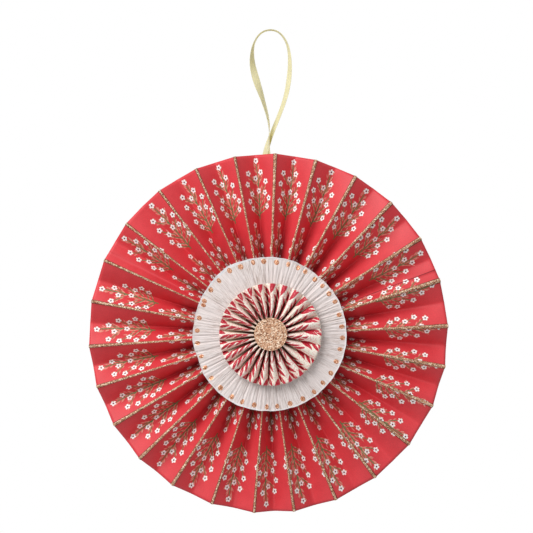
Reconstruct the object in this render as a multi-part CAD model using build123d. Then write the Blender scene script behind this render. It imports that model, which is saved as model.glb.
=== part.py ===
from build123d import *
import math
import os

# Paper fan medallion on a ribbon loop. Millimetres, +Z up.
# It hangs flat against a wall at Y = 0 and its front faces -Y.
# The origin is the centre of the rear face of the back card.

# Large fan of two pleated papers
fan_radius = 150.8
fan_hole_radius = 10.0
fan_pleats = 26
fan_fold_width = 21.0
fan_paper = 0.3
fan_first_ridge_angle = 2.2
fan_inner_steps = 3
fan_outer_steps = 5
# How far each ridge stands clockwise of its even place, in shares of one pleat
fan_ridge_shift_shares = [
    0.00, -0.05, -0.06, -0.01, 0.07, 0.11, 0.23, 0.16, 0.10, 0.11, 0.20, 0.23, 0.24,
    0.17, 0.14, 0.17, 0.16, 0.12, 0.09, 0.05, 0.03, -0.01, 0.03, 0.10, 0.13, 0.08,
]
# The long paper's ends, counted clockwise from the first ridge in shares of the whole round,
# and how far each end of the short paper is tucked behind it, in shares of one panel
long_paper_start_share = 0.1827
long_paper_end_share = 0.8173
lap_share = 0.3
lap_step_share = 0.15
lap_clearance = 0.05

# Glitter lines along the ridges
glitter_line_half_width = 1.7
glitter_line_height = 0.25
glitter_line_clearance = 0.02

# Cards and glue at the middle of the fan
back_card_radius = 35.0
back_card_thickness = 1.0
front_card_radius = 50.0
front_card_thickness = 1.0
glue_film = 0.1
glue_plug_clearance = 0.3

# Gathered white ring
ring_radius = 64.1
ring_hole_radius = 14.0
ring_gathers = 120
ring_paper = 0.25
ring_hole_depth = 3.9
ring_rim_depth = 1.6
ring_radius_steps = 2
ring_shift_x = 0.8
ring_shift_z = -0.2
# The gathers' uneven places and depths: two sine waves round the ring, as (turn per fold, start)
ring_place_wave_share = 0.22
ring_place_waves = [(2.7, 0.0), (1.3, 2.0)]
ring_depth_wave_share = 0.3
ring_depth_waves = [(2.1, 0.0), (0.73, 1.0)]

# Small pleated rosette
rosette_radius = 42.2
rosette_hole_radius = 3.6
rosette_pleats = 25
rosette_fold_width = 7.5
rosette_paper = 0.25
rosette_first_ridge_angle = 2.8
rosette_radius_steps = 4
rosette_shift_x = 1.3
rosette_shift_z = -0.4
# How far each ridge stands clockwise of its even place, in shares of one pleat
rosette_ridge_shift_shares = [
    0.00, 0.02, 0.08, 0.02, 0.04, 0.01, 0.25, 0.63, 0.80, 0.77, 0.85, 0.97, 0.94,
    0.85, 0.76, 0.69, 0.65, 0.55, 0.44, 0.37, 0.26, 0.15, 0.06, -0.01, -0.04,
]

# Glitter disc
disc_radius = 13.6
disc_thickness = 1.8
disc_edge_chamfer = 0.35
disc_shift_x = 1.8
disc_shift_z = 0.2

# Ribbon loop and the glue on its tails
ribbon_width = 6.0
ribbon_thickness = 0.3
ribbon_sections = 72
tail_glue_width = 11.0
tail_glue_length = 7.0
tail_glue_thickness = 1.6
tail_glue_edge_chamfer = 0.6
tail_glue_stand_off = 1.1
tail_glue_radius_share = 0.882
tail_glue_panel_share = 0.42
# How much of the shorter run at a corner of the route its arc takes up
arc_run_share = 0.45
# The ribbon's route, from its left tail over the loop to its right tail
ribbon_route = [
    (1.7, -15.0, 130.0),
    (1.5, -13.9, 140.5),
    (0.2, -10.9, 152.5),
    (0.5, -13.6, 164.0),
    (0.8, -14.2, 177.5),
    (-4.5, -13.4, 196.0),
    (-11.2, -12.8, 215.5),
    (-14.2, -12.4, 230.0),
    (-12.6, -12.2, 245.2),
    (-4.6, -12.0, 255.1),
    (7.8, -12.0, 255.3),
    (16.0, -12.2, 245.0),
    (18.4, -12.4, 230.0),
    (17.5, -12.4, 213.0),
    (14.4, -12.0, 197.5),
    (8.6, -11.4, 182.0),
    (2.3, -10.6, 167.0),
    (-2.4, -9.9, 153.0),
    (-3.7, -9.7, 141.5),
    (-3.9, -9.3, 130.0),
]
# Turn of the ribbon's width from the Y axis at each point of its route, in degrees
ribbon_turns = [
    44, 40, 20, 8, -16, -35, -80, -43, -9, -3, -3, -13, -29, -42, -36, -34, -37, -48, -52, -44,
]

# Depths of the stack, from the wall forwards
back_card_front = -back_card_thickness
fan_back = back_card_front - glue_film
fan_middle = fan_back - (fan_fold_width + fan_paper) / 2
fan_front = fan_back - fan_fold_width - fan_paper
front_card_back = fan_front - glue_film
front_card_front = front_card_back - front_card_thickness
ring_back = front_card_front - glue_film
ring_middle = ring_back - (ring_hole_depth + ring_paper) / 2
ring_front = ring_back - ring_hole_depth - ring_paper
rosette_back = ring_front - glue_film
rosette_middle = rosette_back - (rosette_fold_width + rosette_paper) / 2
rosette_front = rosette_back - rosette_fold_width - rosette_paper
disc_back = rosette_front - glue_film


class PleatedSheet:
    """A paper folded to and fro along radial lines round the Y axis.

    Folds are counted from the first ridge: even folds stand forwards and odd folds lie
    back, and a count between two folds is a place on the panel between them. depth_at
    gives the distance in Y between ridges and valleys for a panel's chord at a radius.
    """

    def __init__(self, angles, radii, paper, middle, centre, depth_at):
        self.angles = angles
        self.radii = radii
        self.paper = paper
        self.middle = middle
        self.centre = centre
        self.depth_at = depth_at

    def angle(self, fold):
        """Clockwise angle of a whole fold from +Z, in degrees, also past a full round."""
        rounds, place = divmod(fold, len(self.angles))
        return self.angles[place] + 360.0 * rounds

    def direction(self, fold):
        """Where a fold points; between two folds it is a little shorter than a unit."""
        whole = math.floor(fold)
        share = fold - whole
        before = math.radians(self.angle(whole))
        after = math.radians(self.angle(whole + 1))
        x = math.sin(before) * (1 - share) + math.sin(after) * share
        z = math.cos(before) * (1 - share) + math.cos(after) * share
        return Vector(x, 0, z)

    def at_fold(self, fold, radius):
        """Y of the paper's front at a whole fold, and the paper's thickness along Y."""
        half_panel = math.radians(self.angle(fold + 1) - self.angle(fold - 1)) / 4
        chord = 2 * radius * math.sin(half_panel)
        depth = self.depth_at(fold, chord, radius)
        thickness = self.paper * math.hypot(chord, depth) / chord
        if fold % 2 == 0:
            return self.middle - (depth + self.paper) / 2, thickness
        return self.middle + (depth + self.paper) / 2 - thickness, thickness

    def faces_at(self, fold, radius):
        """Y of the paper's front and back at any place on the fold count."""
        whole = math.floor(fold)
        share = fold - whole
        front, thickness = self.at_fold(whole, radius)
        next_front, next_thickness = self.at_fold(whole + 1, radius)
        front += (next_front - front) * share
        thickness += (next_thickness - thickness) * share
        return front, front + thickness

    def point(self, fold, radius, y):
        """A point in the radial plane of a place on the fold count."""
        return self.centre + self.direction(fold) * radius + Vector(0, y, 0)

    def section(self, fold, layers_behind=0):
        """The outline of the paper in the radial plane of a place on the fold count."""
        front_edge = []
        back_edge = []
        for r in self.radii:
            front, back = self.faces_at(fold, r)
            shift = (back - front) * layers_behind
            front_edge.append(self.point(fold, r, front + shift))
            back_edge.append(self.point(fold, r, back + shift))
        return Wire.make_polygon(front_edge + back_edge[::-1], close=True)

    def paper_from(self, start, end, lap=0, layers_behind=0):
        """The solid of the paper between two places on the fold count.

        With a lap, each end goes on past its place, that many layers behind.
        """
        places = [start, *range(math.floor(start) + 1, math.ceil(end)), end]
        sections = [self.section(k) for k in places]
        if lap:
            before = [self.section(start - part, layers_behind) for part in (lap, 0)]
            sections[0] = self.section(start + lap * lap_step_share)
            after = [self.section(end + part, layers_behind) for part in (0, lap)]
            sections[-1] = self.section(end - lap * lap_step_share)
            sections = before + sections + after
        return Solid.make_loft(sections, ruled=True)

    def closed_round(self):
        """The solid of a paper that runs all the way round."""
        half = len(self.angles) // 2
        first = self.paper_from(0, half)
        second = self.paper_from(half, len(self.angles))
        return first.fuse(second)


def fold_angles(pleats, first_angle, shift_shares):
    """Angles of all folds of a round, each ridge and then the valley midway to the next."""
    pitch = 360.0 / pleats
    shifts = [shift_shares[k % len(shift_shares)] for k in range(pleats)]
    ridges = [first_angle + pitch * (k + shift) for k, shift in enumerate(shifts)]
    angles = []
    for ridge, following in zip(ridges, ridges[1:] + [ridges[0] + 360.0]):
        angles += [ridge, (ridge + following) / 2]
    return angles


def steps_between(start, end, steps):
    """Evenly spaced radii from one to the other."""
    return [start + (end - start) * k / steps for k in range(steps + 1)]


def panel_depth(fold_width):
    """The depth rule of a panel that keeps its folded width at every radius."""
    return lambda fold, chord, radius: math.sqrt(fold_width**2 - min(chord, fold_width) ** 2)


def wave_at(waves, fold):
    """The mean of several sine waves at a fold, between -1 and 1."""
    return sum(math.sin(turn * fold + start) for turn, start in waves) / len(waves)


def gather_depth(fold, chord, radius):
    """The depth rule of the gathered ring: uneven, and shallower towards the rim."""
    along = (radius - ring_hole_radius) / (ring_radius - ring_hole_radius)
    even = ring_hole_depth + (ring_rim_depth - ring_hole_depth) * along
    shallower = (1 - wave_at(ring_depth_waves, fold)) / 2
    return even * (1 - ring_depth_wave_share * shallower)


def gather_angles():
    """Uneven angles of the folds of the gathered ring."""
    folds = 2 * ring_gathers
    places = [k + ring_place_wave_share * wave_at(ring_place_waves, k) for k in range(folds)]
    return [360.0 * place / folds for place in places]


def large_fan_sheet():
    """The folds of the large fan, which its two papers share."""
    inner = steps_between(fan_hole_radius, front_card_radius + glue_plug_clearance, fan_inner_steps)
    outer = steps_between(inner[-1], fan_radius, fan_outer_steps)
    angles = fold_angles(fan_pleats, fan_first_ridge_angle, fan_ridge_shift_shares)
    depth = panel_depth(fan_fold_width)
    return PleatedSheet(angles, inner + outer[1:], fan_paper, fan_middle, Vector(0, 0, 0), depth)


def glitter_line(sheet, ridge):
    """A thin bead of glitter that saddles one ridge, from the front card to the rim."""
    half_share = glitter_line_half_width / fan_fold_width
    radii = sheet.radii[fan_inner_steps:]
    sections = []
    for fold in (ridge - half_share, ridge, ridge + half_share):
        near = []
        far = []
        for r in radii:
            front, back = sheet.faces_at(fold, r)
            slope = 1.0 if fold == ridge else (back - front) / sheet.paper
            gap = glitter_line_clearance * slope
            near.append(sheet.point(fold, r, front - gap - glitter_line_height * slope))
            far.append(sheet.point(fold, r, front - gap))
        sections.append(Wire.make_polygon(near + far[::-1], close=True))
    return Solid.make_loft(sections, ruled=True)


def disc(radius, front, back, centre_x=0, centre_z=0):
    """A round card or plug between two depths."""
    plane = Plane(origin=(centre_x, back, centre_z), z_dir=(0, -1, 0))
    return extrude(plane * Circle(radius), back - front)


def glitter_disc():
    """The disc at the middle, with its front edge cut back a little."""
    front = disc_back - disc_thickness
    card = disc(disc_radius, front, disc_back, disc_shift_x, disc_shift_z)
    front_edge = card.edges().group_by(Axis.Y)[0]
    return chamfer(front_edge, disc_edge_chamfer)


def ribbon_path():
    """The ribbon's middle line: straight runs joined by arcs as large as the runs allow."""
    points = [Vector(*p) for p in ribbon_route]
    runs = [b - a for a, b in zip(points, points[1:])]
    radii = []
    for before, after in zip(runs, runs[1:]):
        turn = math.radians(before.get_angle(after))
        shorter = min(before.length, after.length)
        radii.append(arc_run_share * shorter / math.tan(turn / 2))
    return FilletPolyline(*points, radius=radii).wire(), [run.length for run in runs]


def turn_at(share, runs):
    """The ribbon's turn at a share of its length."""
    along = share * sum(runs)
    for run, turn, following in zip(runs, ribbon_turns, ribbon_turns[1:]):
        if along <= run:
            return turn + (following - turn) * along / run
        along -= run
    return ribbon_turns[-1]


def ribbon_loop():
    """The flat ribbon, twisting along its route."""
    path, runs = ribbon_path()
    to_wall = Vector(0, 1, 0)
    sections = []
    for k in range(ribbon_sections + 1):
        share = k / ribbon_sections
        centre = path.position_at(share)
        tangent = path.tangent_at(share)
        side = tangent.cross(to_wall).normalized()
        level = side.cross(tangent)
        turn = math.radians(turn_at(share, runs))
        half_width = (level * math.cos(turn) + side * math.sin(turn)) * (ribbon_width / 2)
        half_thick = tangent.cross(half_width).normalized() * (ribbon_thickness / 2)
        corners = [
            centre + half_width + half_thick,
            centre - half_width + half_thick,
            centre - half_width - half_thick,
            centre + half_width - half_thick,
        ]
        sections.append(Wire.make_polygon(corners, close=True))
    return Solid.make_loft(sections, ruled=True)


def tail_glue(sheet):
    """The pad of glue over both tails, on the back of the panel before the first ridge."""
    radius = fan_radius * tail_glue_radius_share
    place = -tail_glue_panel_share
    on_paper = sheet.point(place, radius, sheet.faces_at(place, radius)[1])
    ridge = sheet.point(0, radius, sheet.faces_at(0, radius)[1])
    valley = sheet.point(-1, radius, sheet.faces_at(-1, radius)[1])
    along = (valley - ridge).normalized()
    outward = sheet.direction(place).normalized()
    away = outward.cross(along).normalized()
    away = away if away.Y > 0 else -away
    pad_plane = Plane(origin=on_paper + away * tail_glue_stand_off, x_dir=along, z_dir=away)
    pad = extrude(pad_plane * Rectangle(tail_glue_width, tail_glue_length), tail_glue_thickness)
    outer_face = pad.faces().sort_by_distance(on_paper)[-1]
    return chamfer(outer_face.edges(), tail_glue_edge_chamfer)


def write_node(name, shape):
    """Writes one piece to its own file."""
    shape.label = name
    export_step(shape, f"parts/{name}.step")


os.makedirs("parts", exist_ok=True)

fan = large_fan_sheet()
folds_round = len(fan.angles)
long_start = folds_round * long_paper_start_share
long_end = folds_round * long_paper_end_share
behind = 1 + lap_clearance / fan_paper
write_node("fan_strip_long", fan.paper_from(long_start, long_end))
write_node(
    "fan_strip_short",
    fan.paper_from(long_end, folds_round + long_start, lap_share, behind),
)
lines = [glitter_line(fan, 2 * k) for k in range(fan_pleats)]
write_node("ridge_glitter", Compound(children=lines))

write_node("back_card", disc(back_card_radius, back_card_front, 0))
write_node("front_card", disc(front_card_radius, front_card_front, front_card_back))
write_node("centre_glue", disc(fan_hole_radius - glue_plug_clearance, fan_front, fan_back))

ring = PleatedSheet(
    gather_angles(),
    steps_between(ring_hole_radius, ring_radius, ring_radius_steps),
    ring_paper,
    ring_middle,
    Vector(ring_shift_x, 0, ring_shift_z),
    gather_depth,
)
write_node("gathered_ring", ring.closed_round())

rosette = PleatedSheet(
    fold_angles(rosette_pleats, rosette_first_ridge_angle, rosette_ridge_shift_shares),
    steps_between(rosette_hole_radius, rosette_radius, rosette_radius_steps),
    rosette_paper,
    rosette_middle,
    Vector(rosette_shift_x, 0, rosette_shift_z),
    panel_depth(rosette_fold_width),
)
write_node("small_rosette", rosette.closed_round())
write_node("glitter_disc", glitter_disc())
write_node("ribbon_loop", ribbon_loop())
write_node("tail_glue", tail_glue(fan))
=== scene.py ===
import math
import random

import bpy
import numpy as np
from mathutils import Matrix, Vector, geometry


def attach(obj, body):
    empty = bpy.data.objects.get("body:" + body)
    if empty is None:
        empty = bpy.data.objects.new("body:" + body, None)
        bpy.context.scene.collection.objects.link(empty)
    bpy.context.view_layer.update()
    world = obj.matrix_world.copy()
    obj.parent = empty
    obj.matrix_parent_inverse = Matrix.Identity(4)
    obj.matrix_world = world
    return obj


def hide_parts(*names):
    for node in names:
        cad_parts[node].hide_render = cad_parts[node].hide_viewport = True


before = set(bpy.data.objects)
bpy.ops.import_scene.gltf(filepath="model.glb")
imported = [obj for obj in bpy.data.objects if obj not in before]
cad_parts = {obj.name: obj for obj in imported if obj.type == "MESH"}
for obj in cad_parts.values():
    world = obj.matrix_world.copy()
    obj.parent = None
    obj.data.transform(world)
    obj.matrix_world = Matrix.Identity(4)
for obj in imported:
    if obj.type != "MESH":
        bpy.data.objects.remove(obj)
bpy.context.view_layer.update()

# Lengths are in millimetres where nothing else is said, and meshes are written in metres
MM = 0.001

# Seeds of the random draws
seeds = {
    "fan": 7, "sprigs": 11, "beads": 5, "ring": 3, "dots": 8, "rosette": 21, "leaves": 31, "disc": 9,
}

# View of the photograph
camera_place = (-1.57, -1200.0, 56.04)
view_plane_y = -11.75
view_width = 449.0
sensor_width = 36.0

# Large fan of two pleated papers
fan_radius = 150.8
fan_hole_radius = 10.0
fan_pleats = dict(
    first_ridge=2.2, fold_width=21.0, paper=0.3, middle_y=-11.75, centre=(0.0, 0.0),
    # How soft the ridges are, and the valleys at the middle and at the rim, in shares of a panel
    softness=(0.014, (0.012, 0.085)), bow=0.45, seed=seeds["fan"],
    # How far each ridge stands clockwise of its even place, in shares of one pleat
    shifts=[
        0.00, -0.05, -0.06, -0.035, 0.035, 0.10, 0.175, 0.115, 0.06, 0.10, 0.20, 0.245, 0.245,
        0.17, 0.165, 0.18, 0.15, 0.13, 0.09, 0.04, 0.085, 0.075, 0.055, 0.14, 0.125, 0.06,
    ],
)
# The long paper's ends, in folds from the first ridge. At each, the short paper steps back
# by some papers within a short way and goes on behind the long one.
long_paper_start_fold = 9.5
long_paper_end_fold = 42.5
lap_folds = 0.3
lap_step_folds = 0.045
lap_layers = 1.17
# How the bow of the panels sways from the middle outwards, here and on the rosette
bow_mean_share = 0.7
bow_sway_share = 0.5
bow_sway_reach = 26.0
# Where the meshes of the papers bend, in shares of a panel, and their radii
fan_shares = [0, 0.02, 0.05, 0.1, 0.18, 0.34, 0.5, 0.66, 0.82, 0.9, 0.95, 0.98]
fan_radii = np.concatenate([np.linspace(fan_hole_radius, 48.0, 8), np.linspace(50.0, fan_radius, 42)])

# Sprigs printed on the large fan, in two rows. Places along the paper are counted in pleats.
sprig_base_to_rim = 53.3
sprig_repeat = 54.0
inner_row_shift_pleats = -0.21
# The print of the long and of the short paper: its first sprig, the step to the next, how many
# there are, and how far they stray. That is given for some sprigs, by their number, as outwards
# in the outer row, outwards in the inner row, and clockwise in both.
fan_prints = [
    (5.17, 0.9475, 17, [
        (0, -2.5, -1.3, -0.1), (1, -2.7, -1.2, -0.085), (2, -2.1, -1.3, -0.03), (3, -1.7, -0.9, 0.0),
        (5, -1.1, -0.5, -0.055), (7, -1.3, -0.9, -0.04), (9, -1.3, -1.9, -0.03),
        (12, -1.7, -2.1, -0.03), (13, -1.7, -0.6, -0.015), (16, -0.4, 0.0, 0.015),
    ]),
    (21.684, 0.958, 10, [
        (0, -0.4, 0.4, 0.015), (1, 0.0, 0.4, 0.03), (3, 0.0, 0.0, 0.0), (6, 0.0, -0.4, 0.025),
        (9, -0.7, -1.1, 0.0),
    ]),
]
blossom_radius = 2.65
blossom_eye_radius = 0.8
print_inner_radius = 58.0

# Glitter beads on the ridges
# A bead's half width is its ridge's own value times a share that grows from the ring to the rim
bead_width_radii = (58.0, 88.0, 110.0, 130.0, fan_radius)
bead_width_shares = (0.4, 0.48, 0.6, 0.66, 0.78)
bead_half_widths = [
    1.85, 1.75, 1.75, 1.9, 1.9, 2.4, 2.2, 2.1, 1.9, 1.7, 1.55, 1.5, 1.4,
    1.3, 1.3, 1.7, 1.75, 1.8, 1.5, 1.6, 1.6, 1.3, 1.2, 1.2, 1.2, 1.3,
]
bead_height_share = 0.6
bead_grain = 0.1
bead_inner_radius = 50.5
bead_overhang = 0.1
bead_step = 0.55
# A dark edge of painted shade on both sides of the glitter
bead_shade_edge_width = 0.5
bead_top_lift = 0.12
bead_back_lift = 0.01

# Gathered ring
ring_radius = 64.1
ring_hole_radius = 14.0
ring_paper = 0.25
ring_centre = (0.8, -0.2)
ring_rim_top_y = -26.4
ring_hole_top_y = -27.3
ring_places = 1500
ring_radii = np.concatenate([
    np.linspace(ring_hole_radius, 40, 6), np.linspace(42, 62, 13), [62.6, 63.1, 63.5, 63.9, ring_radius]
])
# The even cut border of the ring, and how wide the band is over which the crinkles flatten to it
ring_border = 0.7
ring_flat_band = 1.6
# Crinkles of the ring, fine ones and deep ones: how many, and ranges of half width and depth
ring_crinkles = [(560, (0.3, 0.75), (0.06, 0.26)), (40, (0.5, 1.1), (0.3, 0.9))]
ring_crinkle_starts = (14, 46)
ring_crinkle_ends = (56, 78)
ring_crinkle_bend = 0.0006
ring_deepest = 1.3
# Slow waves round the ring: how many to a round, and how deep
ring_waves = [(5, 0.10), (8, 0.10), (13, 0.09), (19, 0.08), (31, 0.06), (47, 0.05)]
# Where the ring's outline stands out or falls back: angle, half width in degrees, and how far
ring_outline_bumps = [
    (327, 15, 1.9), (251, 7, -1.5), (40, 17, -1.0), (208, 15, 0.7), (280, 10, -0.7), (100, 12, 0.3),
]
# Foil dots near the ring's rim, and the clockwise angle of each
dot_radius = 2.2
dot_place_radius = 60.4
dot_lift = 0.05
dot_height = 0.12
dot_spokes = 20
dot_ring_shares = [0.0, 0.35, 0.7, 0.9, 1.0]
dot_angles = [
    6, 15, 23, 30, 40, 48, 56, 64, 75, 84, 93, 102, 112, 122, 132, 142, 153, 163, 174,
    182, 192, 202, 211, 222, 233, 242, 252, 263, 273, 283, 294, 297, 307, 317, 328, 337, 347, 356,
]

# Small rosette
rosette_radius = 42.5
rosette_hole_radius = 3.6
rosette_rings = 24
rosette_shares = [0, 0.06, 0.15, 0.32, 0.5, 0.68, 0.85, 0.94]
rosette_pleats = dict(
    first_ridge=2.8, fold_width=7.5, paper=0.25, middle_y=-31.725, centre=(1.6, -0.3),
    softness=(0.02, (0.02, 0.1)), bow=0.22, seed=seeds["rosette"], roundness=0.8,
    shifts=[
        0.00, 0.02, 0.08, 0.02, 0.04, 0.01, 0.25, 0.63, 0.80, 0.77, 0.85, 0.97, 0.94,
        0.85, 0.76, 0.69, 0.65, 0.55, 0.44, 0.37, 0.26, 0.15, 0.06, -0.01, -0.04,
    ],
)

# Glitter disc
disc_radius = 13.6
disc_back_y = -35.7
disc_front_y = -37.4
disc_centre = (1.8, 0.2)
disc_grain = 0.14
disc_grain_shift = 0.16
disc_grain_pitch = 0.62
disc_rings = 22

# Ribbon
ribbon_width = 6.0
ribbon_thickness = 0.3
ribbon_cup = 0.22
# The ribbon's section: nearly flat with a thicker woven edge, as (across, off) in shares of its
# half width and half thickness
ribbon_face = [
    (-1.0, 0.6), (-0.93, 1.0), (-0.84, 0.7), (-0.4, 0.72), (0, 0.75), (0.4, 0.72), (0.84, 0.7),
    (0.93, 1.0), (1.0, 0.6),
]
# The ribbon's route, from its left tail over the loop to its right tail
ribbon_route = [
    (1.7, -15.0, 130.0), (1.5, -13.9, 140.5), (0.2, -10.9, 152.5), (0.5, -13.6, 164.0),
    (0.8, -14.2, 177.5), (-4.5, -13.4, 196.0), (-11.2, -12.8, 215.5), (-14.2, -12.4, 230.0),
    (-12.6, -12.2, 245.2), (-4.6, -12.0, 255.1), (7.8, -12.0, 255.3), (16.0, -12.2, 245.0),
    (18.4, -12.4, 230.0), (17.5, -12.4, 213.0), (14.4, -12.0, 197.5), (8.6, -11.4, 182.0),
    (2.3, -10.6, 167.0), (-2.4, -9.9, 153.0), (-3.7, -9.7, 141.5), (-3.9, -9.3, 130.0),
]
# Turn of the ribbon's width from the Y axis at each point of its route, in degrees
ribbon_turns = [
    44, 40, 20, 8, -16, -35, -80, -43, -9, -3, -3, -13, -29, -42, -36, -34, -37, -48, -52, -44,
]

# Studio: lamps as (name, place and size in metres, power in watts)
lamps = [
    ("key", (-0.88, -1.1, 1.06), 1.2, 27.2),
    ("fill", (0.75, -0.5, 0.62), 0.5, 0.6),
    ("back", (0.5, 1.3, 0.8), 1.0, 9.0),
]
lamp_aim = (0.0, 0.0, 0.03)
room_strength = 0.35
floor_z = -900.0
floor_half_width = 900.0
# How much of the floor is seen as plain white; the rest keeps the shadow
floor_white_share = 0.8


def linear(red, green, blue):
    """A screen colour of 0 to 255 a channel as a linear colour."""
    def channel(value):
        value /= 255.0
        return value / 12.92 if value <= 0.04045 else ((value + 0.055) / 1.055) ** 2.4
    return (channel(red), channel(green), channel(blue), 1.0)


def grey(value):
    """A linear grey, from black at 0 to white at 1."""
    return (value, value, value, 1.0)


# Painted shade in the folds, by ambient occlusion: samples, and for each paper how far that reaches and
# the tones of painted shade from its closed depths to its open ridges
painted_shade_samples = 12
fan_painted_fold_shade = (14.0, (0.06, (0.4, 0.3, 0.3, 1.0)), (0.36, grey(1.0)))
rosette_painted_fold_shade = (
    6.0, (0.13, (0.08, 0.02, 0.02, 1.0)), (0.27, (0.58, 0.46, 0.3, 1.0)), (0.37, grey(1.0)),
)


def feed(tree, target, value):
    """Links a socket to an input, or sets the input to a constant."""
    if isinstance(value, bpy.types.NodeSocket):
        tree.links.new(value, target)
    else:
        target.default_value = value


def add_node(tree, kind, inputs, **settings):
    """A new node in a tree, with its settings made and its inputs fed."""
    node = tree.nodes.new("ShaderNode" + kind)
    for name, value in settings.items():
        setattr(node, name, value)
    for name, value in inputs.items():
        feed(tree, node.inputs[name], value)
    return node


def cover(tree, output, share, over):
    """Lays a share of another shader over the one that an output node shows."""
    surface = tree.nodes[output].inputs["Surface"]
    blend = add_node(tree, "MixShader", {"Fac": share, 1: surface.links[0].from_socket, 2: over})
    feed(tree, surface, blend.outputs["Shader"])


class Shader:
    """A material under construction: one Principled shader and the nodes that feed it."""

    def __init__(self, name, **sockets):
        self.material = bpy.data.materials.new(name)
        self.material.use_nodes = True
        self.tree = self.material.node_tree
        self.principled = self.tree.nodes["Principled BSDF"]
        for socket, value in sockets.items():
            self.principled.inputs[socket.replace("_", " ")].default_value = value
        self.place = self.add("TexCoord", {}).outputs["Object"]

    def add(self, kind, inputs, **settings):
        return add_node(self.tree, kind, inputs, **settings)

    def noise(self, scale, detail=2.0, roughness=0.5, place=None):
        inputs = {"Scale": scale, "Detail": detail, "Roughness": roughness}
        return self.add("TexNoise", {"Vector": place or self.place, **inputs}).outputs["Fac"]

    def vector(self, operation, inputs, output="Vector"):
        return self.add("VectorMath", inputs, operation=operation).outputs[output]

    def radial(self, centre, around, out):
        """A place that changes fast round a centre and slowly out from it."""
        middle = (centre[0] * MM, 0.0, centre[1] * MM)
        offset = self.vector("SUBTRACT", {0: self.place, 1: middle})
        flat = self.vector("MULTIPLY", {0: offset, 1: (1.0, 0.0, 1.0)})
        turned = self.vector("SCALE", {0: self.vector("NORMALIZE", {0: flat}), "Scale": around})
        length = self.vector("LENGTH", {0: flat}, "Value")
        scaled = self.add("Math", {0: length, 1: out / MM}, operation="MULTIPLY")
        lifted = self.add("CombineXYZ", {"Y": scaled.outputs["Value"]})
        return self.vector("ADD", {0: turned, 1: lifted.outputs["Vector"]})

    def with_painted_fold_shade(self, tone, folds):
        """The tone with painted shade, darker where the paper closes in on itself."""
        reach, *stops = folds
        node = self.add("AmbientOcclusion", {"Distance": reach * MM}, samples=painted_shade_samples)
        return self.multiply(1.0, tone, self.ramp(node.outputs["AO"], *stops))

    def ramp(self, value, *stops):
        """The tone at a value, from stops of (value, tone)."""
        node = self.add("ValToRGB", {"Fac": value})
        while len(node.color_ramp.elements) < len(stops):
            node.color_ramp.elements.new(1.0)
        for element, (position, colour) in zip(node.color_ramp.elements, stops):
            element.position = position
            element.color = colour
        return node.outputs["Color"]

    def mix(self, share, first, second, blend="MIX"):
        inputs = {"Factor": share, 6: first, 7: second}
        return self.add("Mix", inputs, data_type="RGBA", blend_type=blend).outputs[2]

    def multiply(self, share, first, second):
        return self.mix(share, first, second, "MULTIPLY")

    def bump(self, height, distance):
        """The normal of a height whose full range is a distance in millimetres."""
        inputs = {"Height": height, "Distance": distance * MM}
        return self.add("Bump", inputs).outputs["Normal"]

    def finish(self, colour, normal=None, roughness=None):
        for socket, value in (("Base Color", colour), ("Normal", normal), ("Roughness", roughness)):
            if value is not None:
                feed(self.tree, self.principled.inputs[socket], value)
        return self.material


def paper_material(name, colour, darker, tooth=0.03, roughness=0.62, specular=0.3, folds=None):
    """Uncoated paper: fibres, cloudy tone and a little tooth."""
    shader = Shader(name, Roughness=roughness, Specular_IOR_Level=specular)
    fibres = shader.noise(1500.0, 3.0, 0.7)
    tone = shader.ramp(shader.noise(60.0, 4.0), (0.3, darker), (0.7, colour))
    shade = shader.multiply(0.75, tone, shader.ramp(fibres, (0.38, grey(0.82)), (0.58, grey(1.0))))
    # Painted shade in the folds, when folds is given
    if folds:
        shade = shader.with_painted_fold_shade(shade, folds)
    return shader.finish(shade, shader.bump(fibres, tooth))


def plain_material(name, pattern, stops, height, folds=None, **sockets):
    """A material whose tone and surface both follow one noise pattern."""
    shader = Shader(name, **sockets)
    cover = shader.noise(*pattern)
    tone = shader.ramp(cover, *stops)
    # Painted shade in the folds, when folds is given
    if folds:
        tone = shader.with_painted_fold_shade(tone, folds)
    return shader.finish(tone, shader.bump(cover, height))


def ink_material(name, colour, darker, folds=fan_painted_fold_shade):
    """Flat printing ink on the paper, a little uneven in cover, darkened with painted fold shade from
    folds, by default the fan's.
    """
    stops = [(0.35, darker), (0.55, colour)]
    return plain_material(
        name, (900.0, 3.0, 0.7), stops, 0.02, folds, Roughness=0.55, Specular_IOR_Level=0.3
    )


def glitter_material(name, dark, middle, light, grain_scale, metallic):
    """Glued glitter: each grain has its own tone and its own gloss, partly the glitter's own mix and
    partly painted glints and painted dark reflections.
    """
    shader = Shader(name, Roughness=0.38, Metallic=metallic, Specular_IOR_Level=0.35)
    grains = shader.add("TexVoronoi", {"Vector": shader.place, "Scale": grain_scale})
    split = shader.add("SeparateColor", {"Color": grains.outputs["Color"]})
    # Grain tones: partly the glitter's own, partly painted glints in the light ones and painted dark
    # reflections in the dark ones
    tone = shader.ramp(split.outputs["Red"], (0.05, dark), (0.4, middle), (0.65, middle), (0.9, light))
    gloss = shader.ramp(split.outputs["Green"], (0.0, grey(0.22)), (1.0, grey(0.6)))
    return shader.finish(tone, shader.bump(grains.outputs["Distance"], 0.09), gloss)


def card_material():
    """Grey-white board for the discs that hold the folds."""
    shader = Shader("card", Roughness=0.75, Specular_IOR_Level=0.2)
    fibres = shader.noise(700.0, 4.0, 0.7)
    tone = shader.ramp(
        shader.noise(45.0, 5.0), (0.3, linear(205, 196, 180)), (0.7, linear(222, 214, 200))
    )
    flecks = shader.ramp(fibres, (0.3, (0.7, 0.67, 0.62, 1.0)), (0.48, grey(1.0)))
    return shader.finish(shader.multiply(0.5, tone, flecks), shader.bump(fibres, 0.06))


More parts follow.
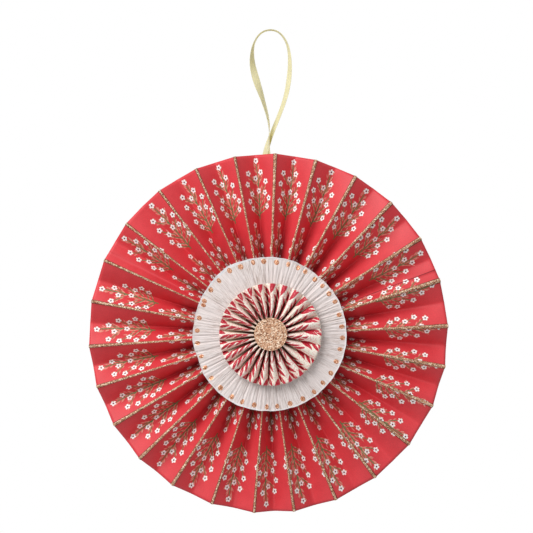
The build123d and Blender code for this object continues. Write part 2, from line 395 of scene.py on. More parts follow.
def glue_material():
    """Set hot glue: milky, smooth and a little lumpy."""
    stops = [(0.3, linear(222, 212, 180)), (0.7, linear(238, 232, 212))]
    return plain_material(
        "hot_glue", (260.0,), stops, 0.25, Roughness=0.28, Subsurface_Weight=0.3, Subsurface_Scale=0.002
    )


def ribbon_material():
    """Satin ribbon: threads along its length, a soft sheen, and light through the weave."""
    shader = Shader(
        "satin_ribbon", Roughness=0.45, Specular_IOR_Level=0.4, Sheen_Weight=0.15, Sheen_Roughness=0.35
    )
    flat = shader.add("UVMap", {}, uv_map="flat")
    threads = shader.add("Mapping", {"Vector": flat.outputs["UV"], "Scale": (9.0, 0.35, 1.0)})
    weave = shader.noise(1.0, 3.0, 0.6, threads.outputs["Vector"])
    tone = shader.ramp(shader.noise(55.0), (0.3, linear(243, 239, 208)), (0.7, linear(250, 247, 226)))
    lines = shader.ramp(weave, (0.35, (0.92, 0.89, 0.78, 1.0)), (0.6, grey(1.0)))
    satin = shader.multiply(0.7, tone, lines)
    deeper = shader.multiply(1.0, satin, (0.85, 0.81, 0.45, 1.0))
    lit_through = shader.add("BsdfTranslucent", {"Color": deeper})
    material = shader.finish(satin, shader.bump(weave, 0.03))
    cover(shader.tree, "Material Output", 0.35, lit_through.outputs["BSDF"])
    return material


def cream_material():
    """The rosette's cream paper, sprinkled with pale pink specks of ink, and darkened in its folds with
    painted shade, dark and olive-tan.
    """
    shader = Shader("cream_paper", Roughness=0.6, Specular_IOR_Level=0.35)
    sprinkle = shader.noise(820.0, 1.0)
    tone = shader.ramp(
        shader.noise(70.0, 4.0), (0.3, linear(251, 243, 224)), (0.7, linear(255, 251, 240))
    )
    specks = shader.ramp(sprinkle, (0.54, grey(1.0)), (0.6, (0.93, 0.5, 0.56, 1.0)))
    inked = shader.multiply(0.8, tone, specks)
    return shader.finish(shader.with_painted_fold_shade(inked, rosette_painted_fold_shade), shader.bump(sprinkle, 0.04))


def ring_material():
    """Gathered tissue: fine crinkles that run outwards, stronger in some parts than in others, with
    painted shade where the crinkle bump is low.
    """
    shader = Shader("ring_paper", Roughness=0.6, Specular_IOR_Level=0.3)
    crinkles = shader.noise(1.0, 4.0, 0.68, shader.radial(ring_centre, 110.0, 0.1))
    parts = shader.noise(1.0, 1.0, 0.5, shader.radial(ring_centre, 2.2, 0.02))
    # Both tone ramps darken where the crinkles' bump is low: painted shade in the hollows, strongest in
    # the streaked one
    smooth = shader.ramp(crinkles, (0.3, linear(230, 217, 214)), (0.6, linear(246, 235, 232)))
    tones = [(0.32, linear(162, 140, 128)), (0.44, linear(220, 206, 201)), (0.6, linear(248, 238, 236))]
    shade_streaked = shader.ramp(crinkles, *tones)
    share = shader.ramp(parts, (0.4, grey(0.15)), (0.6, grey(1.0)))
    return shader.finish(shader.mix(share, smooth, shade_streaked), shader.bump(crinkles, 0.35))


def add_object(name, data):
    """A new object in the scene."""
    obj = bpy.data.objects.new(name, data)
    bpy.context.scene.collection.objects.link(obj)
    return obj


def mesh_object(name, points, faces, materials, slots=None, smooth=True):
    """An object from points in millimetres and faces as lists of point numbers."""
    mesh = bpy.data.meshes.new(name)
    mesh.from_pydata((np.asarray(points, float) * MM).tolist(), [], faces)
    for material in materials:
        mesh.materials.append(material)
    if slots is not None:
        mesh.polygons.foreach_set("material_index", np.asarray(slots, np.int32))
    mesh.polygons.foreach_set("use_smooth", np.full(len(mesh.polygons), smooth))
    mesh.update()
    return add_object(name, mesh)


def two_sided(name, front, back, materials, closed):
    """A paper from its front and back points, in a grid of places round by radii.

    The materials are for the front, the back and the cut edges.
    """
    around, out = front.shape[:2]
    points = np.concatenate([front.reshape(-1, 3), back.reshape(-1, 3)])
    offset = around * out
    faces, slots = [], []
    for i in range(around if closed else around - 1):
        j = (i + 1) % around
        for r in range(out - 1):
            a, b, c, d = i * out + r, i * out + r + 1, j * out + r + 1, j * out + r
            faces.append((a, b, c, d))
            faces.append((d + offset, c + offset, b + offset, a + offset))
            slots += [0, 1]
        for r in (0, out - 1):
            a, d = i * out + r, j * out + r
            faces.append((a, a + offset, d + offset, d) if r else (d, d + offset, a + offset, a))
            slots.append(2)
    for i in () if closed else (0, around - 1):
        for r in range(out - 1):
            a, b = i * out + r, i * out + r + 1
            faces.append((a, a + offset, b + offset, b) if i else (b, b + offset, a + offset, a))
            slots.append(2)
    return mesh_object(name, points, faces, materials, slots)


class Pleats:
    """A paper folded to and fro along radial lines, as in the solids.

    Folds are counted from the first ridge: even folds stand forwards, odd ones lie back.
    """

    def __init__(
        self, first_ridge, shifts, fold_width, paper, middle_y, centre, softness, bow, seed,
        roundness=0.0,
    ):
        pitch = 360.0 / len(shifts)
        ridges = [first_ridge + pitch * (k + shift) for k, shift in enumerate(shifts)]
        degrees = []
        for ridge, following in zip(ridges, ridges[1:] + [ridges[0] + 360.0]):
            degrees += [ridge, (ridge + following) / 2]
        self.angles = np.radians(degrees)
        self.folds = len(degrees)
        self.fold_width = fold_width
        self.paper = paper
        self.middle_y = middle_y
        self.centre = centre
        self.ridge_softness, self.valley_softness = softness
        draw = random.Random(seed)
        self.bows = np.array([bow * draw.uniform(-1, 1) for _ in range(self.folds)])
        self.bow_phases = np.array([draw.uniform(0, math.tau) for _ in range(self.folds)])
        self.roundness = roundness

    def angle(self, fold):
        """Clockwise angle of whole folds from +Z, in radians, also past a full round."""
        return self.angles[fold % self.folds] + math.tau * (fold // self.folds)

    def fold_y(self, fold, radius):
        """Y of the paper's front at whole folds."""
        half_panel = (self.angle(fold + 1) - self.angle(fold - 1)) / 4
        chord = np.minimum(2 * radius * np.sin(half_panel), self.fold_width)
        depth = np.sqrt(self.fold_width**2 - chord**2)
        thickness = self.paper * np.hypot(chord, depth) / chord
        ridge_y = self.middle_y - (depth + self.paper) / 2
        valley_y = self.middle_y + (depth + self.paper) / 2 - thickness
        return np.where(fold % 2 == 0, ridge_y, valley_y)

    def surface(self, fold, radius):
        """Points of the paper's front at places on the fold count."""
        whole = np.floor(fold).astype(int)
        share = fold - whole
        before, after = self.angle(whole), self.angle(whole + 1)
        x = np.sin(before) * (1 - share) + np.sin(after) * share
        z = np.cos(before) * (1 - share) + np.cos(after) * share
        inner, outer = self.valley_softness
        valley_soft = inner + (outer - inner) * np.clip(radius / fan_radius, 0, 1) ** 2
        from_ridge = np.where(whole % 2 == 0, share, 1 - share)
        from_valley = 1 - from_ridge
        if self.roundness:
            rounded = np.hypot(from_ridge, self.roundness) - self.roundness
            down = rounded / (math.hypot(1, self.roundness) - self.roundness)
        else:
            eased_ridge = np.hypot(from_ridge, self.ridge_softness) - from_ridge
            eased_valley = np.hypot(from_valley, valley_soft) - from_valley
            down = np.clip(from_ridge + eased_ridge - eased_valley, 0, 1)
        ridge_y = self.fold_y(np.where(whole % 2 == 0, whole, whole + 1), radius)
        valley_y = self.fold_y(np.where(whole % 2 == 0, whole + 1, whole), radius)
        y = ridge_y + (valley_y - ridge_y) * down
        panel = whole % self.folds
        sway = np.sin(radius / bow_sway_reach + self.bow_phases[panel])
        y = y + self.bows[panel] * (bow_mean_share + bow_sway_share * sway) * 4 * share * (1 - share)
        return np.stack([self.centre[0] + x * radius, y, self.centre[1] + z * radius], axis=-1)

    def place(self, fold, radius, lift=0.0):
        """Points that stand off the paper's front by a lift, negative to go behind it."""
        fold, radius, lift = np.broadcast_arrays(fold, radius, lift)
        step = 0.004
        around = self.surface(fold + step, radius) - self.surface(fold - step, radius)
        out = self.surface(fold, radius + step) - self.surface(fold, radius - step)
        normal = np.cross(around, out)
        normal /= np.linalg.norm(normal, axis=-1, keepdims=True)
        normal *= np.where(normal[..., 1:2] > 0, -1.0, 1.0)
        return self.surface(fold, radius) + normal * lift[..., None]

    def mesh(self, name, folds, radii, materials, lift=0.0, closed=False):
        """The paper with its front at these places, or off them by a lift."""
        front = self.place(folds, radii, lift)
        back = self.place(folds, radii, lift - self.paper)
        return two_sided(name, front, back, materials, closed)


def places_between(start, end, shares):
    """Places on the fold count from one to the other: those shares of every panel."""
    places = [start]
    for panel in range(math.floor(start), math.ceil(end)):
        places += [panel + share for share in shares if start < panel + share < end]
    return np.array(places + [end])


def fan_papers(sheet):
    """The two papers of the large fan; the short one is tucked behind the long one at both laps."""
    materials = [
        # The red paper is darkened in its folds with painted shade
        paper_material(
            "red_paper", linear(229, 62, 70), linear(218, 52, 61), roughness=0.55, specular=0.55,
            folds=fan_painted_fold_shade,
        ),
        paper_material("paper_back", linear(240, 236, 230), linear(232, 226, 220)),
        paper_material("red_paper_edge", linear(216, 84, 88), linear(198, 66, 72)),
    ]
    folds = places_between(long_paper_start_fold, long_paper_end_fold, fan_shares)[:, None]
    long_paper = sheet.mesh("fan_paper_long", folds, fan_radii, materials)
    start = long_paper_end_fold - lap_folds
    end = long_paper_start_fold + sheet.folds + lap_folds
    folds = places_between(start, end, fan_shares)
    joins = [long_paper_end_fold, long_paper_end_fold + lap_step_folds]
    joins += [end - lap_folds - lap_step_folds, end - lap_folds]
    folds = np.unique(np.concatenate([folds, joins]))
    behind = np.interp(folds, joins, [lap_layers, 0, 0, lap_layers])
    lift = -sheet.paper * behind[:, None]
    short_paper = sheet.mesh("fan_paper_short", folds[:, None], fan_radii, materials, lift)
    for paper, node in ((long_paper, "fan_strip_long"), (short_paper, "fan_strip_short")):
        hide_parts(node)
        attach(paper, "root")


class Print:
    """Ink on a pleated paper, drawn flat and then laid on the folds.

    Flat places are (across, out): millimetres along the unfolded paper from the first
    ridge, and the distance from the middle.
    """

    def __init__(self, sheet, shares, inner_radius, outer_radius):
        self.sheet = sheet
        self.shares = shares
        self.inner_radius = inner_radius
        self.outer_radius = outer_radius
        self.points, self.lifts, self.faces, self.slots = [], [], [], []

    def add(self, outline, slot, lift):
        """A convex outline in one ink, cut where the paper bends."""
        width = self.sheet.fold_width
        outline = clipped(outline, self.inner_radius, keep_below=False, axis=1)
        outline = clipped(outline, self.outer_radius, keep_below=True, axis=1)
        if len(outline) < 3:
            return
        lowest = min(p[0] for p in outline) / width
        highest = max(p[0] for p in outline) / width
        bends = places_between(lowest, highest, self.shares)[1:-1] * width
        for line in bends.tolist():
            self.keep(clipped(outline, line, keep_below=True), slot, lift)
            outline = clipped(outline, line, keep_below=False)
        self.keep(outline, slot, lift)

    def keep(self, outline, slot, lift):
        if len(outline) < 3:
            return
        start = len(self.points)
        self.points += outline
        self.lifts += [lift] * len(outline)
        self.faces.append(tuple(range(start, start + len(outline))))
        self.slots.append(slot)

    def stroke(self, points, widths, slot, lift):
        """A line of ink through flat points, each with its half width."""
        sides = []
        for k, (x, y) in enumerate(points):
            x0, y0 = points[max(k - 1, 0)]
            x1, y1 = points[min(k + 1, len(points) - 1)]
            length = math.hypot(x1 - x0, y1 - y0)
            dx, dy = -(y1 - y0) / length * widths[k], (x1 - x0) / length * widths[k]
            sides.append(((x + dx, y + dy), (x - dx, y - dy)))
        for (a, b), (c, d) in zip(sides, sides[1:]):
            self.add([a, b, d, c], slot, lift)

    def finish(self, name, materials):
        flat = np.array(self.points)
        placed = self.sheet.place(flat[:, 0] / self.sheet.fold_width, flat[:, 1], np.array(self.lifts))
        return mesh_object(name, placed, self.faces, materials, self.slots)


def clipped(outline, line, keep_below, axis=0):
    """The part of a convex outline on one side of a straight line across an axis."""
    sign = 1.0 if keep_below else -1.0
    kept = []
    for first, second in zip(outline, outline[1:] + outline[:1]):
        inside, next_inside = sign * (line - first[axis]) >= 0, sign * (line - second[axis]) >= 0
        if inside:
            kept.append(first)
        if inside != next_inside:
            share = (line - first[axis]) / (second[axis] - first[axis])
            kept.append(tuple(a + (b - a) * share for a, b in zip(first, second)))
    return kept


# Slots of the inks and of the painted seam shadow, and how far each stands off the paper so that one
# covers another
STEM, LEAF, PETAL, EYE, SEAM_SHADOW = range(5)
INK_LIFTS = {STEM: 0.03, LEAF: 0.05, PETAL: 0.075, EYE: 0.09, SEAM_SHADOW: 0.1}
main_stem_lift = 0.065

# The sprig: blossoms as (across, out, branch foot out), in millimetres from the foot of its stem
sprig_blossoms = [
    (-0.6, 48.3, 36.0), (-10.4, 38.0, 27.0), (3.8, 38.6, 29.0), (-2.6, 33.6, 27.5),
    (-12.6, 28.8, 15.0), (9.4, 30.6, 18.0), (0.6, 23.0, 15.0), (-8.6, 20.6, 11.0),
    (8.4, 21.2, 11.0), (-12.4, 14.4, 5.0), (13.2, 16.4, 7.0), (-9.2, 8.0, 1.5), (11.0, 9.6, 3.5),
]
stem_top = 45.0
stem_half_width = 0.56
# A thin line of painted shadow that darkens the long paper's edge at the upper right, where it laps the
# short one
seam_shadow_half_width = 0.24
seam_shadow_inset = 0.27


def stem_centre(out):
    """Where the sprig's main stem stands, across, at a distance out from its foot."""
    return 1.2 * math.sin(out / 15.0) - 0.4


def leaf_outline(x, y, length, width, direction):
    """A pointed leaf, from its foot towards a direction in radians from straight out."""
    half = [(0.0, 0.0), (0.25, 0.8), (0.5, 1.0), (0.75, 0.7), (1.0, 0.0)]
    outline = [(share * length, side * width / 2) for share, side in half]
    outline += [(share * length, -side * width / 2) for share, side in half[-2:0:-1]]
    sine, cosine = math.sin(direction), math.cos(direction)
    return [
        (x + along * sine + side * cosine, y + along * cosine - side * sine) for along, side in outline
    ]


def sprig(ink, across, out, draw):
    """One flowering sprig with its foot at a flat place."""
    stem = [(across + stem_centre(v), out + v) for v in np.linspace(-1.0, stem_top, 16)]
    widths = [stem_half_width * (1.25 - 0.6 * k / 15) for k in range(16)]
    ink.stroke(stem, widths, STEM, main_stem_lift)
    for count, (x, y, foot) in enumerate(sprig_blossoms):
        start = (stem_centre(foot), foot)
        bend = (x * 0.75 + start[0] * 0.25, foot + (y - foot) * 0.45)
        branch = []
        for share in np.linspace(0, 1, 7):
            first, middle, last = (1 - share) ** 2, 2 * share * (1 - share), share**2
            branch.append((
                across + first * start[0] + middle * bend[0] + last * x,
                out + first * start[1] + middle * bend[1] + last * y,
            ))
        widths = [stem_half_width * (0.88 - 0.06 * k) for k in range(7)]
        ink.stroke(branch, widths, STEM, INK_LIFTS[STEM] + 0.001 * (count + 1))
        for k in (1, 3, 5):
            bx, by = branch[k]
            for side in (-1, 1):
                lean = math.atan2(x - start[0], y - foot) * 0.7 + side * draw.uniform(0.3, 0.6)
                off = side * draw.uniform(0.7, 1.7)
                size = draw.uniform(3.4, 5.0), draw.uniform(0.9, 1.2)
                outline = leaf_outline(bx + off, by, *size, lean)
                ink.add(outline, LEAF, INK_LIFTS[LEAF] + 0.001 * k + 0.0005 * side)
        blossom(ink, across + x, out + y, draw.uniform(0, math.tau))
    for k in range(15):
        v = 3.0 + k * 2.9
        side = 1 if k % 2 else -1
        outline = leaf_outline(
            across + stem_centre(v) + side * 1.0, out + v, draw.uniform(3.6, 5.0), 1.3,
            side * draw.uniform(0.35, 0.65),
        )
        ink.add(outline, LEAF, INK_LIFTS[LEAF] + 0.008)


def blossom(ink, x, y, turn):
    """Five round petals round a dark eye."""
    points = 30
    rim = []
    for k in range(points):
        angle = math.tau * k / points
        lobe = abs(math.cos(2.5 * angle)) ** 0.7
        radius = blossom_radius * (0.58 + 0.42 * lobe)
        rim.append((x + radius * math.sin(angle + turn), y + radius * math.cos(angle + turn)))
    for first, second in zip(rim, rim[1:] + rim[:1]):
        ink.add([(x, y), first, second], PETAL, INK_LIFTS[PETAL])
    eye = []
    for k in range(8):
        angle = math.tau * k / 8
        dx, dy = blossom_eye_radius * math.sin(angle), blossom_eye_radius * math.cos(angle)
        eye.append((x + dx, y + dy))
    ink.add(eye, EYE, INK_LIFTS[EYE])


def fan_print(sheet):
    """Two rows of sprigs round the fan, with the print's step at both laps."""
    draw = random.Random(seeds["sprigs"])
    ink = Print(sheet, fan_shares, print_inner_radius, fan_radius)
    foot = fan_radius - sprig_base_to_rim
    for first, step, sprigs, drift in fan_prints:
        numbers, *columns = np.transpose(drift)
        for k in range(sprigs):
            outer_row, inner_row, pleats = (np.interp(k, numbers, column) for column in columns)
            across = (first + step * k + pleats) * 2 * sheet.fold_width
            sprig(ink, across, foot + outer_row, draw)
            inner = across + inner_row_shift_pleats * 2 * sheet.fold_width
            sprig(ink, inner, foot - sprig_repeat + inner_row, draw)
    # Painted shadow along the lap seam
    seam = long_paper_start_fold * sheet.fold_width + seam_shadow_inset
    seam_line = [(seam, out) for out in np.linspace(print_inner_radius, fan_radius, 24)]
    ink.stroke(seam_line, [seam_shadow_half_width] * len(seam_line), SEAM_SHADOW, INK_LIFTS[SEAM_SHADOW])
    # All these inks but the petals' are darkened in the folds with painted shade
    materials = [
        ink_material("stem_ink", linear(108, 142, 92), linear(90, 118, 74)),
        ink_material("leaf_ink", linear(234, 156, 138), linear(208, 126, 110)),
        ink_material("petal_ink", linear(255, 252, 249), linear(251, 247, 244), folds=None),
        ink_material("eye_ink", linear(110, 28, 50), linear(88, 20, 38)),
        # Painted shadow at the seam, also darkened in the folds
        ink_material("painted_seam_shadow", linear(122, 20, 30), linear(96, 14, 22)),
    ]
    obj = ink.finish("fan_print", materials)
    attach(obj, "root")


def glitter_beads(sheet):
    """A grainy bead of glitter along every ridge, with a dark edge of painted shade on both sides."""
    draw = np.random.default_rng(seeds["beads"])
    across = np.linspace(-1, 1, 9)[:, None]
    radii = np.arange(bead_inner_radius, fan_radius + 2 * bead_overhang, bead_step)
    radii[-1] = fan_radius + bead_overhang
    shares = np.interp(radii, bead_width_radii, bead_width_shares)
    points, faces, slots = [], [], []
    for ridge in range(0, sheet.folds, 2):
        half_widths = shares * bead_half_widths[ridge // 2]
        edge = half_widths[None] + bead_shade_edge_width
        fold = ridge + np.concatenate([-edge, across * half_widths, edge]) / sheet.fold_width
        height = np.zeros_like(fold)
        height[1:-1] = bead_height_share * half_widths * np.sqrt(1 - across**2)
        grain = draw.uniform(-1, 1, height.shape) * bead_grain
        grain[:2] = grain[-2:] = 0
        top = sheet.place(fold, radii, bead_top_lift + height + grain + bead_grain * (height > 0))
        low = sheet.place(fold[[0, 3, 5, 7, 10]], radii, bead_back_lift)
        ring = np.concatenate([top, low[::-1]])
        start = len(points)
        points += ring.reshape(-1, 3).tolist()
        count, length = ring.shape[:2]
        for i in range(count):
            j = (i + 1) % count
            for r in range(length - 1):
                a, b = start + i * length + r, start + j * length + r
                faces.append((a, a + 1, b + 1, b))
                slots.append(0 if 0 < i < len(top) - 2 else 1)
        faces.append(tuple(start + i * length for i in range(count)))
        faces.append(tuple(start + i * length + length - 1 for i in reversed(range(count))))
        slots += [1, 1]
    gold = glitter_material(
        "gold_glitter", linear(78, 42, 24), linear(190, 136, 98), linear(254, 232, 204), 1700.0, 0.05
    )
    # Painted shade for the bead's dark edges, also darkened in the folds
    foot = ink_material("bead_painted_shade", linear(104, 46, 28), linear(78, 32, 20))
    obj = mesh_object("ridge_glitter_beads", points, faces, [gold, foot], slots, smooth=False)
    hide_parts("ridge_glitter")
    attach(obj, "root")


class GatheredRing:
    """The crinkled white paper, as a height over (angle, radius)."""

    def __init__(self):
        draw = np.random.default_rng(seeds["ring"])
        count = sum(number for number, _, _ in ring_crinkles)
        centres = draw.uniform(0, math.tau, count)
        widths = [width for number, ends, _ in ring_crinkles for width in draw.uniform(*ends, number)]
        depths = [depth for number, _, ends in ring_crinkles for depth in draw.uniform(*ends, number)]
        starts = draw.uniform(*ring_crinkle_starts, count)
        ends = draw.uniform(*ring_crinkle_ends, count)
        bends = draw.normal(0, ring_crinkle_bend, count)
        self.crinkles = list(zip(centres, widths, depths, starts, ends, bends))
        self.wave_phases = draw.uniform(0, math.tau, len(ring_waves))

    def surface(self, angle, radius):
        """Points of the front at angles (clockwise from +Z, in radians) and radii."""
        angle, radius = np.broadcast_arrays(angle, radius)
        hollow = np.zeros(angle.shape)
        for centre, width, depth, start, end, bend in self.crinkles:
            offset = angle - centre - bend * (radius - 40)
            offset = (offset + math.pi) % math.tau - math.pi
            near = np.exp(-(offset * radius / width) ** 2)
            rise = np.clip((radius - start) / 8, 0, 1) * np.clip((end - radius) / 10, 0, 1)
            hollow += depth * near * (0.35 + 0.65 * rise)
        for (count, size), phase in zip(ring_waves, self.wave_phases):
            hollow += size * (1 + np.sin(count * angle + phase)) / 2
        border = np.clip((ring_radius - radius) / ring_flat_band, 0, 1)
        along = (radius - ring_hole_radius) / (ring_radius - ring_hole_radius)
        top = ring_hole_top_y + (ring_rim_top_y - ring_hole_top_y) * along**1.5
        y = top + np.minimum(hollow, ring_deepest) * (0.25 + 0.75 * border)
        out = radius + self.outline(angle) * (radius / ring_radius) ** 4
        x, z = ring_centre[0] + np.sin(angle) * out, ring_centre[1] + np.cos(angle) * out
        return np.stack([x, y, z], axis=-1)

    def outline(self, angle):
        """How far the cut border stands out from an even round."""
        extra = 0.12 * np.sin(23 * angle + 1.0) + 0.1 * np.sin(41 * angle)
        for degrees, half_width, size in ring_outline_bumps:
            offset = (angle - math.radians(degrees) + math.pi) % math.tau - math.pi
            extra = extra + size * np.exp(-(offset / math.radians(half_width)) ** 2)
        return extra


def gathered_ring(shape):
    """The ring's paper, with a smooth cut border."""
    angles = np.linspace(0, math.tau, ring_places, endpoint=False)[:, None]
    front = shape.surface(angles, ring_radii)
    back = front + np.array([0.0, ring_paper, 0.0])
    white = ring_material()
    edge = paper_material("ring_edge", linear(250, 248, 250), linear(242, 240, 242), tooth=0.02)
    obj = two_sided("ring_sheet", front, back, [white, white, edge], closed=True)
    for face in obj.data.polygons:
        x, _, z = face.center
        if math.hypot(x / MM - ring_centre[0], z / MM - ring_centre[1]) > ring_radius - ring_border:
            face.material_index = 2
    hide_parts("gathered_ring")
    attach(obj, "root")


def ring_dots(shape):
    """Copper dots printed on the ring before it was gathered, some pinched by a crease."""
    draw = random.Random(seeds["dots"])
    points, faces = [], []
    for degrees in dot_angles:
        angle = math.radians(degrees + draw.uniform(-0.4, 0.4))
        squeeze = draw.uniform(0.72, 1.0)
        out = dot_place_radius + draw.uniform(-0.5, 0.5)
        flat = [(0.0, 0.0, 0.0)]
        for share in dot_ring_shares[1:]:
            for k in range(dot_spokes):
                turn = math.tau * k / dot_spokes
                flat.append((math.sin(turn) * share * squeeze, math.cos(turn) * share, share))
        flat = np.array(flat)
        lift = dot_lift + dot_height * np.sqrt(np.clip(1 - flat[:, 2] ** 2, 0, 1))
        placed = shape.surface(angle + flat[:, 0] * dot_radius / out, out + flat[:, 1] * dot_radius)
        placed[:, 1] -= lift
        start = len(points)
        points += placed.tolist()
        for k in range(dot_spokes):
            following = (k + 1) % dot_spokes
            faces.append((start, start + 1 + k, start + 1 + following))
            for ring in range(len(dot_ring_shares) - 2):
                a = start + 1 + ring * dot_spokes
                b = a + dot_spokes
                faces.append((a + k, b + k, b + following, a + following))
    # Hot-stamped foil has tiny wrinkles and breaks; its pale and dark tones follow their bump, partly
    # the foil's own uneven tone and partly painted highlight and painted shade
    tones = [(0.38, linear(112, 58, 34)), (0.5, linear(190, 122, 84)), (0.62, linear(250, 208, 178))]
    foil = plain_material("copper_foil", (1400.0, 3.0, 0.6), tones, 0.25, Roughness=0.3, Metallic=0.75)
    obj = mesh_object("ring_dots", points, faces, [foil])
    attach(obj, "root")


def small_rosette():
    """The cream rosette and its red leaf print."""
    sheet = Pleats(**rosette_pleats)
    folds = places_between(0, sheet.folds, rosette_shares)[:-1, None]
    radii = np.linspace(rosette_hole_radius, rosette_radius, rosette_rings)
    obj = sheet.mesh("rosette_sheet", folds, radii, [cream_material()] * 3, closed=True)
    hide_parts("small_rosette")
    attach(obj, "root")
    rosette_print(sheet)


# The rosette's print: spines up the flat paper, with leaves that lean left or right from them.
# Places are counted in pleats from the first ridge, and the print slips inwards along the paper.
rosette_first_spine = 8.75
rosette_spine_step = 0.945
rosette_spines = 26
rosette_slip_start = 10
rosette_slip = 0.056
rosette_print_inner_radius = 9.0
# Leaves of one spine: foot out from the middle, length, width and lean from straight out
rosette_leaves = [
    (34.0, 12.0, 3.5, -0.66), (28.0, 13.5, 3.4, -0.72), (22.0, 12.5, 3.2, -0.74),
    (17.0, 10.0, 3.0, -0.72), (17.0, 21.0, 2.4, -0.06), (37.0, 14.0, 2.4, 0.12),
    (36.5, 10.0, 2.7, 0.6), (40.5, 10.5, 2.9, 0.68), (45.5, 11.0, 2.9, 0.7),
    (51.0, 11.0, 2.9, 0.7), (16.0, 11.0, 2.7, 0.7), (10.0, 11.0, 2.7, 0.7),
]


def rosette_print(sheet):
    """Red leaves in bunches along the paper."""
    draw = random.Random(seeds["leaves"])
    ink = Print(sheet, rosette_shares, rosette_print_inner_radius, rosette_radius - 0.05)
    for spine in range(rosette_spines):
        across = (rosette_first_spine + rosette_spine_step * spine) * 2 * sheet.fold_width
        slip = rosette_slip * max(0, spine - rosette_slip_start) ** 2
        for row, (out, length, broad, lean) in enumerate(rosette_leaves):
            foot = (across + draw.uniform(-0.3, 0.3), out - slip + draw.uniform(-0.5, 0.5))
            outline = leaf_outline(
                *foot, length + draw.uniform(-0.8, 0.8), broad, lean + draw.uniform(-0.06, 0.06)
            )
            ink.add(outline, 0, 0.03 + 0.003 * row)
    # Pale grains where the paper shows through the ink
    tones = [(0.35, linear(172, 22, 40)), (0.52, linear(198, 36, 58)), (0.7, linear(222, 104, 116))]
    # The leaf ink is darkened in the folds with painted shade
    red = plain_material(
        "leaf_print_ink", (900.0, 2.0, 0.6), tones, 0.02, rosette_painted_fold_shade,
        Roughness=0.5, Specular_IOR_Level=0.35,
    )
    obj = ink.finish("rosette_print", [red])
    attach(obj, "root")


def glitter_disc():
    """The glitter card: coarse grains on a round card with a cut edge."""
    draw = np.random.default_rng(seeds["disc"])
    points = [(0.0, disc_front_y, 0.0)]
    for ring in range(1, disc_rings + 1):
        radius = disc_radius * ring / disc_rings
        count = max(6, round(math.tau * radius / disc_grain_pitch))
        turn = draw.uniform(0, math.tau)
        for k in range(count):
            angle = turn + math.tau * k / count
            grain = draw.uniform(-1, 1) * disc_grain
            shift = draw.uniform(-disc_grain_shift, disc_grain_shift) if ring < disc_rings else 0
            spread = radius + shift
            points.append((spread * math.sin(angle), disc_front_y + grain, spread * math.cos(angle)))
    # The last count is the rim's, and the cut edge goes from the rim to the back
    back_start = len(points)
    rim_start = back_start - count
    points += [(x, disc_back_y, z) for x, _, z in points[rim_start:]]
    flat = [Vector((x, z)) for x, _, z in points[:back_start]]
    faces = geometry.delaunay_2d_cdt(flat, [], [], 0, 1e-6)[2]
    for k in range(count):
        following = (k + 1) % count
        faces.append((rim_start + k, rim_start + following, back_start + following, back_start + k))
    faces.append(tuple(range(back_start, back_start + count)))
    placed = [(x + disc_centre[0], y, z + disc_centre[1]) for x, y, z in points]
    tones = linear(124, 80, 54), linear(200, 151, 118), linear(250, 226, 200)
    glitter = glitter_material("champagne_glitter", *tones, 1250.0, 0.35)
    obj = mesh_object("disc_glitter", placed, faces, [glitter], smooth=False)
    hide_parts("glitter_disc")
    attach(obj, "root")


def ribbon_line():
    """Points along the ribbon, read from a smooth spline through its route."""
    curve = bpy.data.curves.new("ribbon_route", "CURVE")
    curve.dimensions = "3D"
    curve.resolution_u = 10
    spline = curve.splines.new("NURBS")
    spline.points.add(len(ribbon_route) - 1)
    for point, place in zip(spline.points, ribbon_route):
        point.co = (*[value * MM for value in place], 1.0)
    spline.order_u = 3
    spline.use_endpoint_u = True
    holder = add_object("ribbon_route", curve)
    bpy.context.view_layer.update()
    depsgraph = bpy.context.evaluated_depsgraph_get()
    mesh = bpy.data.meshes.new_from_object(holder.evaluated_get(depsgraph))
    line = np.array([vertex.co[:] for vertex in mesh.vertices]) / MM
    bpy.data.objects.remove(holder)
    bpy.data.meshes.remove(mesh)
    return line


def ribbon():
    """The satin ribbon, twisting along its line."""
    line = ribbon_line()
    steps = np.linalg.norm(np.diff(line, axis=0), axis=1)
    along = np.concatenate([[0], np.cumsum(steps)])
    length = along[-1]
    runs = np.linalg.norm(np.diff(np.array(ribbon_route), axis=0), axis=1)
    marks = np.concatenate([[0], np.cumsum(runs)]) / runs.sum() * length
    turns = np.radians(np.interp(along, marks, ribbon_turns))
    tangents = np.gradient(line, along, axis=0)
    tangents /= np.linalg.norm(tangents, axis=1, keepdims=True)
    side = np.cross(tangents, (0.0, 1.0, 0.0))
    side /= np.linalg.norm(side, axis=1, keepdims=True)
    level = np.cross(side, tangents)
    wide = level * np.cos(turns)[:, None] + side * np.sin(turns)[:, None]
    out = np.cross(tangents, wide)
    section = ribbon_face + [(across, -off) for across, off in ribbon_face[::-1]]
    rows = []
    for across, off in section:
        lateral = wide * across * ribbon_width / 2
        lifted = out * (off * ribbon_thickness / 2 - ribbon_cup * (1 - across**2))
        rows.append(line + lateral + lifted)
    grid = np.stack(rows, axis=1)
    count, around = grid.shape[:2]
    faces = []
    flat = []
    for i in range(count - 1):
        for j in range(around):
            following = (j + 1) % around
            a, b = i * around + j, i * around + following
            faces.append((a, b, b + around, a + around))
            left, right = (section[k][0] * ribbon_width / 2 for k in (j, following))
            flat += [(left, along[i]), (right, along[i]), (right, along[i + 1]), (left, along[i + 1])]
    faces.append(tuple(reversed(range(around))))
    faces.append(tuple(range((count - 1) * around, count * around)))
    flat += [(0.0, 0.0)] * (2 * around)
    obj = mesh_object("ribbon", grid.reshape(-1, 3), faces, [ribbon_material()])
    layer = obj.data.uv_layers.new(name="flat")
    layer.data.foreach_set("uv", np.array(flat, np.float32).ravel())
    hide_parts("ribbon_loop")
    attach(obj, "root")


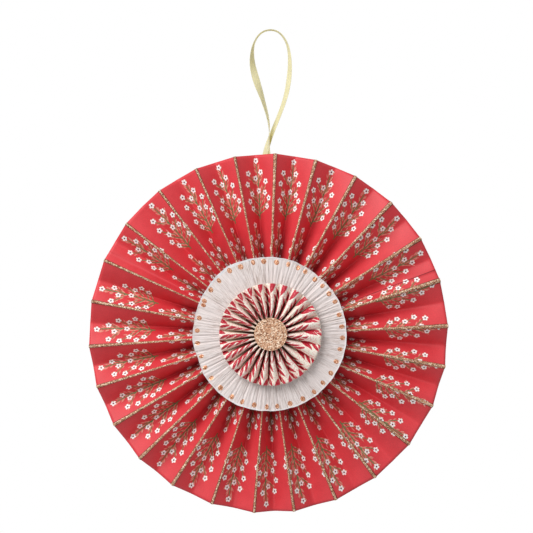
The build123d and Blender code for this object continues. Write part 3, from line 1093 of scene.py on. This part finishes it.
def dress_solids():
    """Finishes for the solids that stay as they are."""
    for material, *nodes in (
        (card_material(), "back_card", "front_card"), (glue_material(), "centre_glue", "tail_glue"),
    ):
        for node in nodes:
            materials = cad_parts[node].data.materials
            materials.clear()
            materials.append(material)


def camera():
    """The photograph's view: straight on, a little above the middle of the fan."""
    data = bpy.data.cameras.new("camera")
    data.sensor_width = sensor_width
    data.lens = sensor_width * (view_plane_y - camera_place[1]) / view_width
    obj = add_object("camera", data)
    obj.location = [value * MM for value in camera_place]
    obj.rotation_euler = (math.pi / 2, 0, 0)
    bpy.context.scene.camera = obj


def seen_rays(tree):
    """A socket that is 1 for rays from the camera, by reflection or through glass too."""
    rays = add_node(tree, "LightPath", {})
    seen = rays.outputs["Is Camera Ray"]
    for kind in ("Is Glossy Ray", "Is Transmission Ray"):
        larger = add_node(tree, "Math", {0: seen, 1: rays.outputs[kind]}, operation="MAXIMUM")
        seen = larger.outputs["Value"]
    return seen


def studio():
    """A soft key from the upper left, an even room and a pale floor."""
    for name, place, size, power in lamps:
        data = bpy.data.lights.new(name, "AREA")
        data.size = size
        data.energy = power
        lamp = add_object(name, data)
        lamp.location = place
        aim = Vector(lamp_aim) - Vector(place)
        lamp.rotation_euler = aim.to_track_quat("-Z", "Y").to_euler()
    world = bpy.data.worlds.new("room")
    bpy.context.scene.world = world
    world.use_nodes = True
    tree = world.node_tree
    room = tree.nodes["Background"]
    room.inputs["Color"].default_value = grey(1.0)
    room.inputs["Strength"].default_value = room_strength
    white = add_node(tree, "Background", {"Color": grey(1.0), "Strength": 1.0})
    cover(tree, "World Output", seen_rays(tree), white.outputs["Background"])
    shader = Shader("floor", Roughness=0.8)
    tone = shader.ramp(shader.noise(6.0), (0.3, linear(236, 236, 236)), (0.7, linear(244, 244, 244)))
    material = shader.finish(tone)
    seen = seen_rays(shader.tree)
    share = shader.add("Math", {0: seen, 1: floor_white_share}, operation="MULTIPLY")
    white = shader.add("Emission", {})
    cover(shader.tree, "Material Output", share.outputs["Value"], white.outputs["Emission"])
    half = floor_half_width
    corners = [(-half, -half), (half, -half), (half, half), (-half, half)]
    floor = mesh_object("floor", [(x, y, floor_z) for x, y in corners], [(0, 1, 2, 3)], [material])


camera()
ribbon()
fan_sheet = Pleats(**fan_pleats)
fan_papers(fan_sheet)
fan_print(fan_sheet)
glitter_beads(fan_sheet)
ring_shape = GatheredRing()
gathered_ring(ring_shape)
ring_dots(ring_shape)
small_rosette()
glitter_disc()
dress_solids()
studio()
bpy.context.scene.view_settings.view_transform = "Standard"
